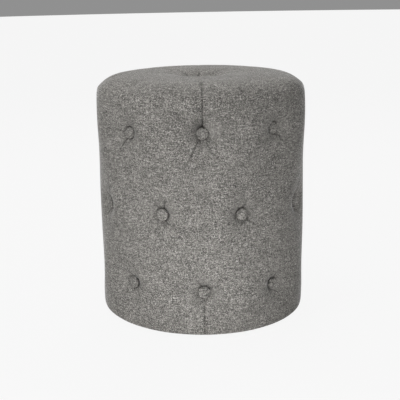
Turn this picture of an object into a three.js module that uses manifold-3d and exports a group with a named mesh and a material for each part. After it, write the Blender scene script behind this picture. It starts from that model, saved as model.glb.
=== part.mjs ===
// A round tufted tuffet, in millimetres with +Z up: a drum of board, posts and fibreboard,
// padded with foam and drawn tight in one woven cover by 24 side buttons and one on the seat.
// The origin is on the floor under the middle of the body, and the front buttons face -Y.
import * as THREE from "three";
import { mergeVertices } from "three/addons/utils/BufferGeometryUtils.js";
import Module from "manifold-3d";

// Overall size
const SEAT_HEIGHT = 453;
const BODY_DIAMETER = 398;

// Shape of the covered body
const CROWN_RISE = 13; // the seat's highest ring above its rim
const CROWN_RING_RADIUS = 55; // where the seat is highest
const TOP_EDGE_RADIUS = 24;
const HEM_TAPER = 2; // how far the cloth draws in below the lowest swell
const WAIST = 1.5; // how far the cloth lies in at the level of a ring of buttons

// Buttons: three staggered rings round the side, and one in the middle of the seat
const BUTTONS_PER_RING = 8;
const UPPER_RING_DROP = 81; // down from the seat
const LOWER_RING_RISE = 82; // up from the floor
const MIDDLE_RING_SHARE = 0.486; // of the way from the lower ring to the upper
const BUTTON_RADIUS = 11;
const BUTTON_RIM = 2;
const BUTTON_DOME = 4;
const SHANK_RADIUS = 3;
const BUTTON_SIDES = 12;
const DOME_STEPS = 3;

// Tufting: what each button and pleat does to the cloth
const TUFT_DEPTH = 22;
const TUFT_REACH = 34; // up and down from a button to the full swell
const BED_MARGIN_SHARE = 1.1; // of a tuft's steepest slope, under its button's rim
const PLEAT_DEPTH = 3; // from each upper button over the rim, and from each lower button to the hem
const FOLD_DEPTH = 2; // beside a button, where its slanting folds start
const DIMPLE_DEPTH = 20; // in the middle of the seat

// Cloth and padding
const FABRIC_THICKNESS = 2;
const HEM_TURN = 30; // turned in under the base
const TOP_FOAM_THICKNESS = 36;
const SIDE_PADDING = 35.5; // from the outside of the cover in to the drum

// Drum
const DRUM_WALL = 4;
const WALL_JOINT = 1; // between the butted ends of the wrapped wall
const BASE_BOARD_THICKNESS = 15;
const TOP_BOARD_THICKNESS = 12;
const POST_COUNT = 4;
const POST_WIDTH = 40;
const POST_DEPTH = 25;

// Countersunk screws, one through each board into each end of a post
const SCREW_LENGTH = 40;
const SCREW_RADIUS = 2.2;
const SCREW_HEAD_RADIUS = 4.5;
const SCREW_HEAD_DEPTH = 2.6;
const SCREW_HEAD_EDGE = 0.5;
const SCREW_POINT = 6;
const SCREW_SIDES = 10;

// Dust cloth and nail-on glides under the base
const DUST_CLOTH_THICKNESS = 1;
const DUST_CLOTH_LAP = 15; // over the turned hem
const DUST_CLOTH_STEP = 5; // width of its step down onto the hem
const GLIDE_COUNT = 4;
const GLIDE_HEIGHT = 5;
const GLIDE_RADIUS = 12;
const GLIDE_BEVEL = 2;
const GLIDE_INSET = 3; // from the step of the dust cloth
const NAIL_RADIUS = 1.5;
const NAIL_LENGTH = 12;
const NAIL_POINT = 3;
const GLIDE_SIDES = 16;

// Clearances
const FIT = 0.3; // between neighbouring pieces
const OVERRUN = 1; // of a cutting shape past the face it cuts
const MERGE_DISTANCE = 0.001;

// The facets of every round layer, counted so that a column of facets runs through each button
const FACETS_PER_BAY = 3;
const BAYS = 2 * BUTTONS_PER_RING;
const FACETS = BAYS * FACETS_PER_BAY;
const FACET_ANGLE = (2 * Math.PI) / FACETS;

// Levels, from the floor up
const DUST_CLOTH_TOP = GLIDE_HEIGHT + FIT + DUST_CLOTH_THICKNESS;
const HEM_BOTTOM = DUST_CLOTH_TOP - FABRIC_THICKNESS;
const BASE_BOTTOM = DUST_CLOTH_TOP + FIT;
const BASE_TOP = BASE_BOTTOM + BASE_BOARD_THICKNESS;
const RIM_HEIGHT = SEAT_HEIGHT - CROWN_RISE;
const TOP_FOAM_BOTTOM = RIM_HEIGHT - TOP_FOAM_THICKNESS;
const TOP_BOARD_TOP = TOP_FOAM_BOTTOM - FIT;
const TOP_BOARD_BOTTOM = TOP_BOARD_TOP - TOP_BOARD_THICKNESS;
const FRAME_BOTTOM = BASE_TOP + FIT;
const FRAME_TOP = TOP_BOARD_BOTTOM - FIT;
const UPPER_RING_HEIGHT = SEAT_HEIGHT - UPPER_RING_DROP;
const MIDDLE_RING_HEIGHT = LOWER_RING_RISE + (UPPER_RING_HEIGHT - LOWER_RING_RISE) * MIDDLE_RING_SHARE;

// Radii, from the outside in
const BODY_RADIUS = BODY_DIAMETER / 2;
const FOAM_DEPTH = FABRIC_THICKNESS + FIT; // from the outside of the cover to the foam
const DRUM_RADIUS = BODY_RADIUS - SIDE_PADDING;
const FOAM_BORE_RADIUS = (DRUM_RADIUS + FIT) / Math.cos(FACET_ANGLE / 2);
const DRUM_BORE_RADIUS = (DRUM_RADIUS - DRUM_WALL) * Math.cos(FACET_ANGLE / 2);
const HEM_INNER_RADIUS = BODY_RADIUS - HEM_TURN;
const DUST_LAP_RADIUS = HEM_INNER_RADIUS - FIT;
const DUST_CENTRE_RADIUS = DUST_LAP_RADIUS - DUST_CLOTH_STEP;
const GLIDE_CIRCLE_RADIUS = DUST_CENTRE_RADIUS - GLIDE_INSET - GLIDE_RADIUS;

// Small departures of each hand-set button from even spacing, counted round from the front towards +X:
// a turn in degrees, and a rise as a share of the tuft's reach.
const RINGS = [
  {
    name: "upper",
    height: UPPER_RING_HEIGHT,
    reachUp: TOP_FOAM_BOTTOM - UPPER_RING_HEIGHT,
    firstBay: 0,
    turnDegrees: [0, -2.2, 0.4, -0.6, 0.3, 0.5, -0.4, 1.4],
    riseShares: [0.03, 0.03, -0.03, 0.02, 0.02, -0.03, 0.02, -0.13],
  },
  {
    name: "middle",
    height: MIDDLE_RING_HEIGHT,
    reachUp: TUFT_REACH,
    firstBay: 1,
    turnDegrees: [-1, 0.4, -0.3, 0.5, -0.5, 0.3, 0.8, -0.4],
    riseShares: [0.02, -0.04, 0.03, -0.02, 0.02, 0.03, -0.05, 0.04],
  },
  {
    name: "lower",
    height: LOWER_RING_RISE,
    reachUp: TUFT_REACH,
    firstBay: 0,
    turnDegrees: [0, -2, -0.4, 0.5, 0.2, -0.6, 0.4, 1.5],
    riseShares: [0.03, -0.06, 0.03, -0.03, 0, 0.03, -0.02, 0.09],
  },
];

// Colours, roughness and metalness of each finish
const FINISHES = {
  wovenCloth: { color: 0x84827e, roughness: 0.95, metalness: 0 },
  seatFoam: { color: 0xe8dcb4, roughness: 0.9, metalness: 0 },
  plywood: { color: 0xc8a470, roughness: 0.65, metalness: 0 },
  fibreboard: { color: 0x7d5a3a, roughness: 0.75, metalness: 0 },
  pine: { color: 0xd8b67e, roughness: 0.7, metalness: 0 },
  dustCloth: { color: 0x1d1d1e, roughness: 0.95, metalness: 0 },
  glidePlastic: { color: 0x26262a, roughness: 0.45, metalness: 0 },
  zincSteel: { color: 0xb4b2a8, roughness: 0.35, metalness: 1 },
};

const wasm = await Module();
wasm.setup();

const tuffet = new THREE.Group();

function addPiece(name, geometry, finish, parent = tuffet) {
  const mesh = new THREE.Mesh(geometry, new THREE.MeshStandardMaterial(FINISHES[finish]));
  mesh.name = name;
  parent.add(mesh);
  return mesh;
}

function toSolid(geometry) {
  const bare = geometry.clone();
  bare.deleteAttribute("normal");
  bare.deleteAttribute("uv");
  const merged = mergeVertices(bare, MERGE_DISTANCE);
  const vertProperties = merged.getAttribute("position").array;
  const triVerts = new Uint32Array(merged.index.array);
  return new wasm.Manifold(new wasm.Mesh({ numProp: 3, vertProperties, triVerts }));
}

function toGeometry(solid) {
  const mesh = solid.getMesh();
  const geometry = new THREE.BufferGeometry();
  geometry.setAttribute("position", new THREE.BufferAttribute(mesh.vertProperties, 3));
  geometry.setIndex(new THREE.BufferAttribute(mesh.triVerts, 1));
  geometry.computeVertexNormals();
  return geometry;
}

function cutAway(geometry, cutters) {
  let solid = toSolid(geometry);
  for (const cutter of cutters) {
    solid = solid.subtract(toSolid(cutter));
  }
  return toGeometry(solid);
}

// A turned piece about Z. The profile runs anticlockwise, from the axis back to the axis.
function turned(profile, sides) {
  const points = profile.map(([radius, height]) => new THREE.Vector2(radius, height));
  return new THREE.LatheGeometry(points, sides).rotateX(Math.PI / 2);
}

function disc(radius, thickness, bottom) {
  const geometry = new THREE.CylinderGeometry(radius, radius, thickness, FACETS);
  return geometry.rotateX(Math.PI / 2).translate(0, 0, bottom + thickness / 2);
}

// Azimuth is counted from -Y towards +X.
function around(radius, azimuth, height) {
  return new THREE.Vector3(radius * Math.sin(azimuth), -radius * Math.cos(azimuth), height);
}

// The tuft of a ring that a column of facets runs through or beside: its number, and the columns to it.
function tuftNear(ring, column) {
  const facetsApart = 2 * FACETS_PER_BAY;
  const fromFirst = column - ring.firstBay * FACETS_PER_BAY;
  const number = Math.round(fromFirst / facetsApart);
  const index = (number + BUTTONS_PER_RING) % BUTTONS_PER_RING;
  return { index, columnsAway: Math.abs(fromFirst - number * facetsApart) };
}

function driftTurn(ring, index) {
  return THREE.MathUtils.degToRad(ring.turnDegrees[index % ring.turnDegrees.length]);
}

function driftRise(ring, index) {
  return TUFT_REACH * ring.riseShares[index % ring.riseShares.length];
}

// Rows of the cover's outer face, from the middle of the seat to the hem. Each row says how far its
// cloth is drawn in on a column of facets, and where its point is at a depth under the outer face.
const UPWARD = [0, 1];
const OUTWARD = [1, 0];
const SLANTED = [Math.SQRT1_2, Math.SQRT1_2];
const HEMWARD = [Math.SQRT2 - 1, -1];
const [upperRing, middleRing, lowerRing] = RINGS;

function skinRow(radius, height, outward, drawIn, options = {}) {
  const pull = options.pull ?? outward;
  const at = (column, depth) => {
    let azimuth = column * FACET_ANGLE;
    let rise = 0;
    if (options.ring) {
      const { index, columnsAway } = tuftNear(options.ring, column);
      if (columnsAway <= 1) {
        azimuth += driftTurn(options.ring, index);
        rise = driftRise(options.ring, index);
      }
    }
    const drawn = drawIn(column);
    const pointRadius = radius - outward[0] * depth - pull[0] * drawn;
    const pointHeight = height - outward[1] * depth - pull[1] * drawn + rise;
    return around(pointRadius, azimuth, pointHeight);
  };
  return { radius, height, drawIn, at };
}

function pleatDraw(column) {
  return tuftNear(upperRing, column).columnsAway === 0 ? PLEAT_DEPTH : 0;
}

function foldDraw(ring) {
  return (column) => (tuftNear(ring, column).columnsAway === 1 ? FOLD_DEPTH : 0);
}

function tuftRow(ring) {
  const drawIn = (column) => (tuftNear(ring, column).columnsAway === 0 ? TUFT_DEPTH : 0);
  return skinRow(BODY_RADIUS - WAIST, ring.height, OUTWARD, drawIn, { ring });
}

function swellRow(height, ring) {
  return skinRow(BODY_RADIUS, height, OUTWARD, foldDraw(ring));
}

const edgeRadius = BODY_RADIUS - TOP_EDGE_RADIUS;
const edgeHeight = RIM_HEIGHT - TOP_EDGE_RADIUS;
const edgeSlant = TOP_EDGE_RADIUS * Math.SQRT1_2;
const seatMiddle = skinRow(0, SEAT_HEIGHT, UPWARD, () => DIMPLE_DEPTH);
const seatCrown = skinRow(CROWN_RING_RADIUS, SEAT_HEIGHT, UPWARD, pleatDraw);
const edgeInner = skinRow(edgeRadius, RIM_HEIGHT, UPWARD, pleatDraw);
const edgeCorner = skinRow(edgeRadius + edgeSlant, edgeHeight + edgeSlant, SLANTED, pleatDraw);
const edgeOuter = skinRow(BODY_RADIUS, TOP_FOAM_BOTTOM, OUTWARD, pleatDraw);
const upperTufts = tuftRow(upperRing);
const lowerTufts = tuftRow(lowerRing);
const betweenRings = [
  swellRow(UPPER_RING_HEIGHT - TUFT_REACH, upperRing),
  swellRow(MIDDLE_RING_HEIGHT + TUFT_REACH, middleRing),
  tuftRow(middleRing),
  swellRow(MIDDLE_RING_HEIGHT - TUFT_REACH, middleRing),
  swellRow(LOWER_RING_RISE + TUFT_REACH, lowerRing),
];
const lowestSwell = skinRow(BODY_RADIUS, LOWER_RING_RISE - TUFT_REACH, OUTWARD, pleatDraw);
const hem = skinRow(BODY_RADIUS - HEM_TAPER, HEM_BOTTOM, HEMWARD, pleatDraw, { pull: OUTWARD });
const outerRows = [
  seatMiddle, seatCrown, edgeInner, edgeCorner, edgeOuter,
  upperTufts, ...betweenRings, lowerTufts, lowestSwell, hem,
];
// Inside, a strip of wadding lines the cover along the seat's edge, so the edge's inner row is left out.
const innerRows = outerRows.filter((row) => row !== edgeInner);

// A ring of the body's surface: a row of the cover at a depth, and lowered by a drop.
function skinAt(row, depth, drop = 0) {
  const at = (column) => row.at(column, depth).setZ(row.at(column, depth).z - drop);
  return { radius: row.radius, height: row.height, drawIn: row.drawIn, at };
}

function plainRing(radius, height) {
  return { radius, height, drawIn: () => 0, at: (column) => around(radius, column * FACET_ANGLE, height) };
}

// The level line at a height on the face between two rows.
function levelLine(above, below, depth, height) {
  const at = (column) => {
    const top = above.at(column, depth);
    const bottom = below.at(column, depth);
    return top.lerp(bottom, (top.z - height) / (top.z - bottom.z));
  };
  return { radius: BODY_RADIUS, height, drawIn: above.drawIn, at };
}

// A lathe of the rings' outline, with each ring's points then set to its own tufts and pleats.
// Rings up to the given count run down an inner face, and the rest run up an outer one.
function formedBody(rings, innerCount = 0) {
  const profile = rings.map(({ radius, height }) => new THREE.Vector2(radius, height));
  const geometry = new THREE.LatheGeometry(profile, FACETS);
  const position = geometry.getAttribute("position");
  for (let column = 0; column <= FACETS; column++) {
    rings.forEach((ring, step) => {
      const point = ring.at(column % FACETS);
      position.setXYZ(column * rings.length + step, point.x, point.y, point.z);
    });
  }
  geometry.setIndex(creasedFaces(rings, innerCount));
  return geometry;
}

// Each four-sided facet is creased from the corner that is drawn in most, so folds radiate from a tuft.
function creasedFaces(rings, innerCount) {
  const faces = [];
  for (let column = 0; column < FACETS; column++) {
    const next = (column + 1) % FACETS;
    for (let step = 0; step < rings.length - 1; step++) {
      const [ring, nextRing] = [rings[step], rings[step + 1]];
      const a = column * rings.length + step;
      const b = a + rings.length;
      const [c, d] = [b + 1, a + 1];
      const rising = ring.drawIn(column) + nextRing.drawIn(next);
      const falling = ring.drawIn(next) + nextRing.drawIn(column);
      const alongRising = rising === falling ? step + 1 < innerCount : rising > falling;
      faces.push(...(alongRising ? [a, b, c, a, c, d] : [a, b, d, c, d, b]));
    }
  }
  return faces;
}

function fabricCover() {
  const rings = [
    ...innerRows.map((row) => skinAt(row, FABRIC_THICKNESS)),
    plainRing(HEM_INNER_RADIUS, HEM_BOTTOM + FABRIC_THICKNESS),
    ...outerRows.map((row) => skinAt(row, 0)).reverse(),
  ];
  addPiece("fabric_cover", formedBody(rings, innerRows.length), "wovenCloth");
}

function topFoam() {
  const rings = [
    plainRing(0, TOP_FOAM_BOTTOM),
    skinAt(edgeOuter, FOAM_DEPTH),
    skinAt(edgeCorner, FOAM_DEPTH),
    skinAt(seatCrown, FOAM_DEPTH),
    skinAt(seatMiddle, FOAM_DEPTH),
  ];
  addPiece("top_foam", formedBody(rings), "seatFoam");
}

function sideFoam() {
  const sideRows = [upperTufts, ...betweenRings, lowerTufts, lowestSwell].reverse();
  const firstRing = levelLine(lowestSwell, hem, FOAM_DEPTH, FRAME_BOTTOM);
  const rings = [
    firstRing,
    ...sideRows.map((row) => skinAt(row, FOAM_DEPTH)),
    skinAt(edgeOuter, FOAM_DEPTH + FIT, FIT),
    plainRing(FOAM_BORE_RADIUS, TOP_BOARD_TOP),
    plainRing(FOAM_BORE_RADIUS, FRAME_BOTTOM),
    firstRing,
  ];
  addPiece("side_foam", formedBody(rings), "seatFoam");
}

// A screw about its own axis, with its head's face at zero and its point below.
function screwShape(grow, rise) {
  return turned(
    [
      [0, -SCREW_LENGTH - grow],
      [SCREW_RADIUS + grow, SCREW_POINT - SCREW_LENGTH],
      [SCREW_RADIUS + grow, -SCREW_HEAD_DEPTH],
      [SCREW_HEAD_RADIUS + grow, -SCREW_HEAD_EDGE],
      [SCREW_HEAD_RADIUS + grow, rise],
      [0, rise],
    ],
    SCREW_SIDES,
  );
}

function postAzimuth(number) {
  return ((number + 0.5) * 2 * Math.PI) / POST_COUNT;
}

// The posts stand inside the wall, with both outer corners just clear of it.
function postCircleRadius() {
  const cornerRadius = DRUM_BORE_RADIUS - FIT;
  return Math.sqrt(cornerRadius ** 2 - (POST_WIDTH / 2) ** 2) - POST_DEPTH / 2;
}

function screwSeats() {
  const radius = postCircleRadius();
  const seats = [];
  for (let number = 0; number < POST_COUNT; number++) {
    const azimuth = postAzimuth(number);
    seats.push({ name: `top_screw_${number + 1}`, at: around(radius, azimuth, TOP_BOARD_TOP - FIT), flip: 0 });
    seats.push({ name: `base_screw_${number + 1}`, at: around(radius, azimuth, BASE_BOTTOM + FIT), flip: Math.PI });
  }
  return seats;
}

function screwCutters() {
  return screwSeats().map(({ at, flip }) => screwShape(FIT, OVERRUN).rotateX(flip).translate(at.x, at.y, at.z));
}

function glidePlaces() {
  const places = [];
  for (let number = 0; number < GLIDE_COUNT; number++) {
    places.push(around(GLIDE_CIRCLE_RADIUS, (number * 2 * Math.PI) / GLIDE_COUNT, 0));
  }
  return places;
}

function nailCutters() {
  const nail = [
    [0, GLIDE_HEIGHT - OVERRUN],
    [NAIL_RADIUS + FIT, GLIDE_HEIGHT - OVERRUN],
    [NAIL_RADIUS + FIT, GLIDE_HEIGHT + NAIL_LENGTH - NAIL_POINT],
    [0, GLIDE_HEIGHT + NAIL_LENGTH + FIT],
  ];
  return glidePlaces().map((at) => turned(nail, GLIDE_SIDES).translate(at.x, at.y, 0));
}

// The base board is as wide as the drawn-in cloth leaves room for at its upper face.
function baseBoardRadius() {
  const faceLine = levelLine(lowestSwell, hem, FOAM_DEPTH, BASE_TOP);
  const hemLine = skinAt(hem, FOAM_DEPTH);
  let room = BODY_RADIUS;
  for (let column = 0; column < FACETS; column++) {
    for (const line of [faceLine, hemLine]) {
      const point = line.at(column);
      room = Math.min(room, Math.hypot(point.x, point.y));
    }
  }
  return room;
}

function boards() {
  const baseBlank = disc(baseBoardRadius(), BASE_BOARD_THICKNESS, BASE_BOTTOM);
  const topBlank = disc(DRUM_RADIUS, TOP_BOARD_THICKNESS, TOP_BOARD_BOTTOM);
  addPiece("base_board", cutAway(baseBlank, [...screwCutters(), ...nailCutters()]), "plywood");
  addPiece("top_board", cutAway(topBlank, screwCutters()), "plywood");
}

// The wall is one sheet of fibreboard, bent round the posts with its ends butted on the last of them.
function drumWall() {
  const innerRadius = DRUM_RADIUS - DRUM_WALL;
  const joint = postAzimuth(POST_COUNT - 1) - Math.PI / 2;
  const halfJoint = WALL_JOINT / 2 / innerRadius;
  const start = joint + halfJoint;
  const end = joint + 2 * Math.PI - halfJoint;
  const outline = new THREE.Shape();
  outline.absarc(0, 0, DRUM_RADIUS, start, end, false);
  outline.absarc(0, 0, innerRadius, end, start, true);
  outline.closePath();
  const height = FRAME_TOP - FRAME_BOTTOM;
  const geometry = new THREE.ExtrudeGeometry(outline, {
    depth: height,
    bevelEnabled: false,
    curveSegments: FACETS / 2,
  });
  addPiece("drum_wall", geometry.translate(0, 0, FRAME_BOTTOM), "fibreboard");
}

function posts() {
  const height = FRAME_TOP - FRAME_BOTTOM;
  const radius = postCircleRadius();
  for (let number = 0; number < POST_COUNT; number++) {
    const blank = new THREE.BoxGeometry(POST_WIDTH, POST_DEPTH, height);
    blank.rotateZ(postAzimuth(number));
    const at = around(radius, postAzimuth(number), (FRAME_BOTTOM + FRAME_TOP) / 2);
    blank.translate(at.x, at.y, at.z);
    addPiece(`post_${number + 1}`, cutAway(blank, screwCutters()), "pine");
  }
}

function screws() {
  for (const { name, at, flip } of screwSeats()) {
    const screw = addPiece(name, screwShape(0, 0), "zincSteel");
    screw.position.copy(at);
    screw.rotation.x = flip;
  }
}

// A thin cloth across the bottom, flat on the base board and stepped down over the turned hem.
function dustCover() {
  const lapTop = HEM_BOTTOM - FIT;
  const lapRadius = HEM_INNER_RADIUS + DUST_CLOTH_LAP;
  const outline = [
    [0, DUST_CLOTH_TOP - DUST_CLOTH_THICKNESS],
    [DUST_CENTRE_RADIUS, DUST_CLOTH_TOP - DUST_CLOTH_THICKNESS],
    [DUST_LAP_RADIUS, lapTop - DUST_CLOTH_THICKNESS],
    [lapRadius, lapTop - DUST_CLOTH_THICKNESS],
    [lapRadius, lapTop],
    [DUST_LAP_RADIUS, lapTop],
    [DUST_CENTRE_RADIUS, DUST_CLOTH_TOP],
    [0, DUST_CLOTH_TOP],
  ];
  addPiece("dust_cover", cutAway(turned(outline, FACETS), nailCutters()), "dustCloth");
}

// Each glide is a plastic disc on its own nail.
function glides() {
  const outline = [
    [0, 0],
    [GLIDE_RADIUS - GLIDE_BEVEL, 0],
    [GLIDE_RADIUS, GLIDE_BEVEL],
    [GLIDE_RADIUS, GLIDE_HEIGHT],
    [NAIL_RADIUS, GLIDE_HEIGHT],
    [NAIL_RADIUS, GLIDE_HEIGHT + NAIL_LENGTH - NAIL_POINT],
    [0, GLIDE_HEIGHT + NAIL_LENGTH],
  ];
  glidePlaces().forEach((at, number) => {
    const glide = addPiece(`glide_${number + 1}`, turned(outline, GLIDE_SIDES), "glidePlastic");
    glide.position.copy(at);
  });
}

// A covered button on its shank, along +Z from the deepest point of a tuft with the given slope.
function coveredButton(slope) {
  const lift = FIT * Math.hypot(1, slope);
  const back = lift + slope * BUTTON_RADIUS;
  const rimTop = back + BUTTON_RIM;
  const outline = [
    [0, lift + slope * SHANK_RADIUS],
    [SHANK_RADIUS, lift + slope * SHANK_RADIUS],
    [SHANK_RADIUS, back],
    [BUTTON_RADIUS, back],
  ];
  for (let step = 0; step < DOME_STEPS; step++) {
    const angle = ((step / DOME_STEPS) * Math.PI) / 2;
    outline.push([BUTTON_RADIUS * Math.cos(angle), rimTop + BUTTON_DOME * Math.sin(angle)]);
  }
  outline.push([0, rimTop + BUTTON_DOME]);
  return turned(outline, BUTTON_SIDES);
}

function sideButtons() {
  const facetWidth = BODY_RADIUS * FACET_ANGLE;
  const tuftRadius = BODY_RADIUS - WAIST - TUFT_DEPTH;
  for (const ring of RINGS) {
    const steepest = TUFT_DEPTH / Math.min(facetWidth, TUFT_REACH, ring.reachUp);
    for (let index = 0; index < BUTTONS_PER_RING; index++) {
      const bay = ring.firstBay + 2 * index;
      const azimuth = (bay * 2 * Math.PI) / BAYS + driftTurn(ring, index);
      const spoke = new THREE.Group();
      spoke.rotation.z = azimuth;
      tuffet.add(spoke);
      const geometry = coveredButton(steepest * BED_MARGIN_SHARE);
      const button = addPiece(`${ring.name}_button_${index + 1}`, geometry, "wovenCloth", spoke);
      button.position.set(0, -tuftRadius, ring.height + driftRise(ring, index));
      button.rotation.x = Math.PI / 2;
    }
  }
}

function seatButton() {
  const slope = (DIMPLE_DEPTH / CROWN_RING_RADIUS) * BED_MARGIN_SHARE;
  const button = addPiece("seat_button", coveredButton(slope), "wovenCloth");
  button.position.z = SEAT_HEIGHT - DIMPLE_DEPTH;
}

fabricCover();
topFoam();
sideFoam();
boards();
drumWall();
posts();
screws();
dustCover();
glides();
sideButtons();
seatButton();

export default tuffet;
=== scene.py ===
"""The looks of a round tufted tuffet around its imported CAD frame, in metres with +Z up."""

import math
import random

import bmesh
import bpy
from mathutils import Matrix, Vector


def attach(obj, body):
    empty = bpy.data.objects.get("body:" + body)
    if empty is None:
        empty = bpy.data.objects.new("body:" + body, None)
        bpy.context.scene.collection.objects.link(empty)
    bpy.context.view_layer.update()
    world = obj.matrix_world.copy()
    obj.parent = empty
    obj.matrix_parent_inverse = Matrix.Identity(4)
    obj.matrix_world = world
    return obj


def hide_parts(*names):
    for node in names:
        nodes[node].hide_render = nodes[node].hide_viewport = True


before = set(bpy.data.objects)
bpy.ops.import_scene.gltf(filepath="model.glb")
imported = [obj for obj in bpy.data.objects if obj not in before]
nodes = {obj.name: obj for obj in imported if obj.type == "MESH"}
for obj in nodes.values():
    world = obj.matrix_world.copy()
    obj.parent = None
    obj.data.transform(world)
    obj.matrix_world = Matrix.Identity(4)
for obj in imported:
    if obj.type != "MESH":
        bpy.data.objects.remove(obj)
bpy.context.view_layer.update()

MM = 0.001
TINY = 1e-6

# The camera, fitted to the photographed outline, the buttons and the front of the seat's edge
LENS_MM = 76.8
SENSOR_MM = 36
CAMERA_PLACE = (-0.0311, -1.6477, 0.6429)
CAMERA_PITCH = 10.5463
CAMERA_YAW = 1.6845
CAMERA_ROLL = -1.1726
CAMERA_SHIFT = (0.1001, -0.1607)

# The covered body: the seat is highest at its crown ring, and its edge is a broad round
BODY_RADIUS = 199 * MM
SEAT_CROWN = 457.5 * MM
CROWN_RING = 52 * MM
CROWN_CURVE = 1.5
EDGE_HEIGHT = 455 * MM
EDGE_ROUND = 30 * MM
EDGE_RADIUS = BODY_RADIUS - EDGE_ROUND
EDGE_START = EDGE_HEIGHT - EDGE_ROUND
HEM_HEIGHT = 4.3 * MM
HEM_ROUND = 4 * MM
HEM_TAPER = 1.5 * MM
HEM_RADIUS = BODY_RADIUS - HEM_TAPER
HEM_INNER_RADIUS = 169 * MM
TAPER_TOP = 46 * MM
TOP_FULLNESS = 4.5 * MM
TOP_FULLNESS_HEIGHT = 385 * MM
TOP_FULLNESS_REACH = 60 * MM
WAIST = 1.2 * MM
WAIST_HEIGHT = 180 * MM
WAIST_REACH = 90 * MM
CLOTH_THICKNESS = 2 * MM

# Tufts: the beds that the buttons lie in, and the pull round them
BUTTON_RADIUS = 11 * MM
BED_DEPTH = 25 * MM
BED_SLOPE = 0.936
SEAT_BED = 432.8 * MM
SEAT_BED_SLOPE = 0.4
SEAT_DIMPLE_REACH = 20 * MM
SEAT_DIMPLE_LIP = 1.7
POCKET_REACH = 6 * MM
PULL_REACH = 22 * MM
PULL_SHARE = 0.26
BED_MARGIN = 1.02
SWELL = 2 * MM
SWELL_TOP_LOSS = 0.6
SWELL_HEM_CLEAR = 20 * MM

# The hollow above an upper button, where its pleat opens
FUNNEL_HEIGHT = 44 * MM
FUNNEL_DEPTH = 7.5 * MM
FUNNEL_OPEN_SIDE = 27 * MM
FUNNEL_STEEP_SIDE = 6 * MM
FUNNEL_NARROWING = 0.6
FUNNEL_FADE_START = 0.3
PLAIN_FUNNEL_SHARE = 0.45

# Where the padding was packed fuller or thinner: azimuth and half width in degrees, height,
# half height and rise in mm
FULL_PLACES = [
    (37, 14, 300, 90, -6),
    (-38, 13, 300, 110, -3.5),
    (9.5, 6.5, 260, 95, 5),
    (-26, 9, 330, 60, 1.5),
    (-4, 7, 120, 55, 2),
    (44, 9, 215, 60, 1.2),
    (-50, 9, 190, 60, 1.5),
]

# Others like them round the back: their azimuths, and the ranges that the rest is drawn from
BACK_AZIMUTHS = range(80, 300, 24)
BACK_DRIFT = 7
BACK_HALF_WIDTHS = (7, 11)
BACK_HALF_HEIGHTS = (45, 90)
BACK_HEIGHTS = (110, 320)
BACK_RISES = (1, 3)
BACK_SEED = 23

# Where that fades out: by each button, counted in its radii, and below the edge
FILL_CLEAR = 2.5
FILL_TOP_FADE = 30 * MM

# The cover's mesh, with columns and rows closer together at the buttons
COLUMNS = 112
BAYS = 16
GATHER = 0.55
HEM_ROWS = (0, 0.45, 0.9)
HEM_ROUND_STEPS = 3
SIDE_ROWS = 43
SIDE_SAMPLES = 400
ROW_CLOSENESS = 1.4
ROW_CLOSE_REACH = 26 * MM
EDGE_ROWS = 8
SEAT_ROWS = 14
SEAT_ROW_SPREAD = 1.2

# The cloth simulation
SETTLE_FRAMES = 20
SETTLE_LIMIT = 4 * MM
SETTLE_PRESSURE = 2.5
SETTLE_STIFFNESS = 25
SETTLE_BENDING = 0.4
SETTLE_QUALITY = 5
HELD_REACH = 1.3


def smoothstep(low, high, value):
    share = min(max((value - low) / (high - low), 0.0), 1.0)
    return share * share * (3 - 2 * share)


def around(radius, azimuth, height):
    """A point at an azimuth counted from the front, -Y, towards +X."""
    return Vector((radius * math.sin(azimuth), -radius * math.cos(azimuth), height))


def azimuth_of(point):
    return math.atan2(point.x, -point.y)


def polar(point):
    """How far a point is from the tuffet's middle line, its azimuth and its height."""
    return math.hypot(point.x, point.y), azimuth_of(point), point.z


def angle_between(a, b):
    return (a - b + math.pi) % (2 * math.pi) - math.pi


def add_camera():
    camera = bpy.data.objects.new("camera", bpy.data.cameras.new("camera"))
    camera.data.lens = LENS_MM
    camera.data.sensor_width = SENSOR_MM
    camera.data.clip_end = 100
    camera.data.shift_x, camera.data.shift_y = CAMERA_SHIFT
    yaw = Matrix.Rotation(math.radians(CAMERA_YAW), 4, "Z")
    pitch = Matrix.Rotation(math.radians(90 - CAMERA_PITCH), 4, "X")
    roll = Matrix.Rotation(math.radians(CAMERA_ROLL), 4, "Z")
    camera.matrix_world = Matrix.Translation(CAMERA_PLACE) @ yaw @ pitch @ roll
    bpy.context.scene.collection.objects.link(camera)
    bpy.context.scene.camera = camera


add_camera()


# ---- meshes ----


def piece_from(bm, name):
    mesh = bpy.data.meshes.new(name)
    bm.to_mesh(mesh)
    bm.free()
    mesh.shade_smooth()
    piece = bpy.data.objects.new(name, mesh)
    bpy.context.scene.collection.objects.link(piece)
    return piece


def apply_modifiers(piece):
    depsgraph = bpy.context.evaluated_depsgraph_get()
    mesh = bpy.data.meshes.new_from_object(piece.evaluated_get(depsgraph))
    piece.modifiers.clear()
    piece.data = mesh


def lathe(profile, steps):
    """A profile of (radius, height) points turned about the upright axis."""
    bm = bmesh.new()
    verts = [bm.verts.new((0, -radius, height)) for radius, height in profile]
    edges = [bm.edges.new(pair) for pair in zip(verts, verts[1:])]
    bmesh.ops.spin(
        bm,
        geom=verts + edges,
        cent=(0, 0, 0),
        axis=(0, 0, 1),
        angle=2 * math.pi,
        steps=steps,
        use_merge=True,
    )
    bmesh.ops.remove_doubles(bm, verts=bm.verts, dist=TINY)
    bmesh.ops.recalc_face_normals(bm, faces=bm.faces)
    return bm


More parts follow.
